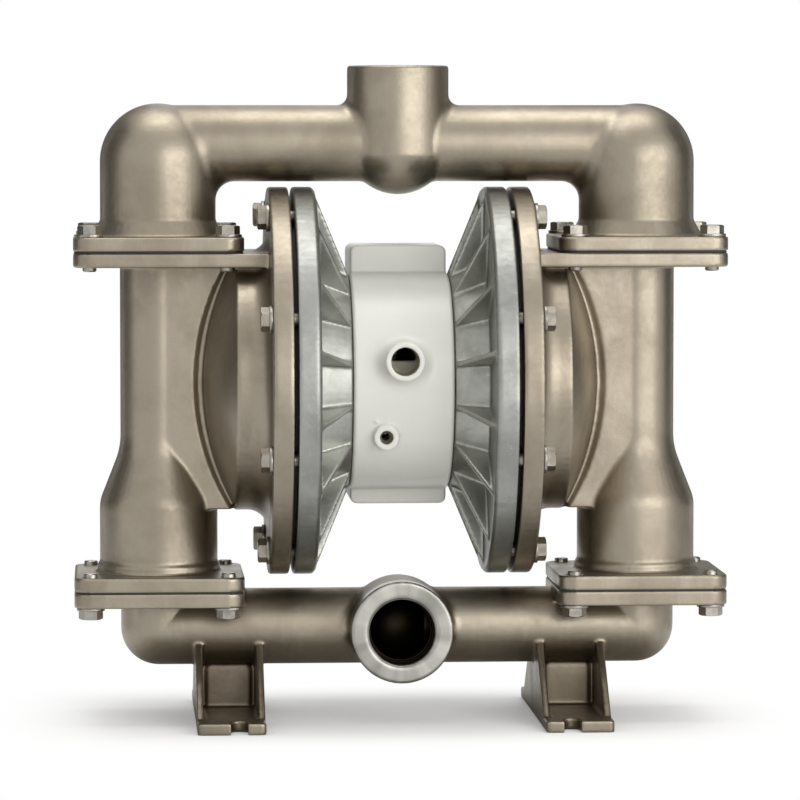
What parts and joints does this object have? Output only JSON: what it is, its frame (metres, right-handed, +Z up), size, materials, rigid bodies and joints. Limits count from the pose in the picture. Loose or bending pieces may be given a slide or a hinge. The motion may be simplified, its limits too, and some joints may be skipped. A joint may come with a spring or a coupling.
{
  "type": "air operated diaphragm pump",
  "caption": "Air operated double diaphragm pump with ribbed air chambers, bolted fluid chambers, manifolds above and below, and slotted feet.",
  "frame": {"origin": "centre of the whole pump's footprint, on the floor that the feet stand on", "axes": "+X along the diaphragm shaft to the right as seen from the air inlet, -Y to the front where the air inlet and the suction port face, +Z up out of the discharge port"},
  "size_m": [0.562, 0.336, 0.5664],
  "materials": {
    "cast_stainless": "satin",
    "cast_aluminium": "satin",
    "white_body": "satin",
    "bolt_steel": "satin",
    "washer_steel": "satin",
    "turned_steel": "satin",
    "plate_aluminium": "satin",
    "circlip_steel": "satin",
    "bush_bronze": "satin",
    "seal_rubber": "matte",
    "diaphragm_rubber": "matte",
    "ball_white": "satin",
    "silencer_black": "matte"
  },
  "bodies": {
    "casing": {"air_chamber_left": "cast_aluminium", "air_chamber_right": "cast_aluminium", "air_chamber_screws_left": "bolt_steel", "air_chamber_screws_right": "bolt_steel", "body_gasket_left": "seal_rubber", "body_gasket_right": "seal_rubber", "center_body": "white_body", "chamber_bolts_left": "bolt_steel", "chamber_bolts_right": "bolt_steel", "chamber_washers_left": "washer_steel", "chamber_washers_right": "washer_steel", "diaphragm_left": "diaphragm_rubber", "diaphragm_right": "diaphragm_rubber", "discharge_bolts_left": "bolt_steel", "discharge_bolts_right": "bolt_steel", "discharge_gasket_left": "seal_rubber", "discharge_gasket_right": "seal_rubber", "discharge_manifold": "cast_stainless", "discharge_seat_left": "turned_steel", "discharge_seat_right": "turned_steel", "discharge_washers_left": "washer_steel", "discharge_washers_right": "washer_steel", "exhaust_silencer": "silencer_black", "outer_chamber_left": "cast_stainless", "outer_chamber_right": "cast_stainless", "pilot_bush_left": "bush_bronze", "pilot_bush_right": "bush_bronze", "shaft_bush_left": "bush_bronze", "shaft_bush_right": "bush_bronze", "shaft_seal_left": "seal_rubber", "shaft_seal_right": "seal_rubber", "suction_bolts_left": "bolt_steel", "suction_bolts_right": "bolt_steel", "suction_gasket_left": "seal_rubber", "suction_gasket_right": "seal_rubber", "suction_manifold": "cast_stainless", "suction_seat_left": "turned_steel", "suction_seat_right": "turned_steel", "suction_washers_left": "washer_steel", "suction_washers_right": "washer_steel", "valve_circlip_bottom": "circlip_steel", "valve_circlip_top": "circlip_steel", "valve_plug_bottom": "plate_aluminium", "valve_plug_top": "plate_aluminium", "valve_sleeve": "bush_bronze"},
    "shaft_group": {"diaphragm_shaft": "turned_steel", "inner_plate_left": "plate_aluminium", "inner_plate_right": "plate_aluminium", "outer_plate_left": "turned_steel", "outer_plate_right": "turned_steel", "plate_bolt_left": "bolt_steel", "plate_bolt_right": "bolt_steel"},
    "suction_ball_left": {"suction_ball_left": "ball_white"},
    "suction_ball_right": {"suction_ball_right": "ball_white"},
    "discharge_ball_left": {"discharge_ball_left": "ball_white"},
    "discharge_ball_right": {"discharge_ball_right": "ball_white"},
    "valve_spool": {"valve_spool": "plate_aluminium"},
    "pilot_spool": {"pilot_spool": "turned_steel"}
  },
  "joints": [
    {"name": "shaft_slide", "type": "slide", "parent": "casing", "child": "shaft_group", "axis": [1, 0, 0], "range_m": [-0.024, 0.024], "deforming": ["diaphragm_right", "diaphragm_left"]},
    {"name": "suction_ball_left_lift", "type": "slide", "parent": "casing", "child": "suction_ball_left", "axis": [0, 0, 1], "range_m": [0, 0.014]},
    {"name": "suction_ball_right_lift", "type": "slide", "parent": "casing", "child": "suction_ball_right", "axis": [0, 0, 1], "range_m": [0, 0.014]},
    {"name": "discharge_ball_left_lift", "type": "slide", "parent": "casing", "child": "discharge_ball_left", "axis": [0, 0, 1], "range_m": [0, 0.014]},
    {"name": "discharge_ball_right_lift", "type": "slide", "parent": "casing", "child": "discharge_ball_right", "axis": [0, 0, 1], "range_m": [0, 0.014]},
    {"name": "valve_spool_slide", "type": "slide", "parent": "casing", "child": "valve_spool", "axis": [0, 0, 1], "range_m": [0, 0.0204]},
    {"name": "pilot_spool_slide", "type": "slide", "parent": "casing", "child": "pilot_spool", "axis": [1, 0, 0], "range_m": [-0.004, 0.004]}
  ]
}
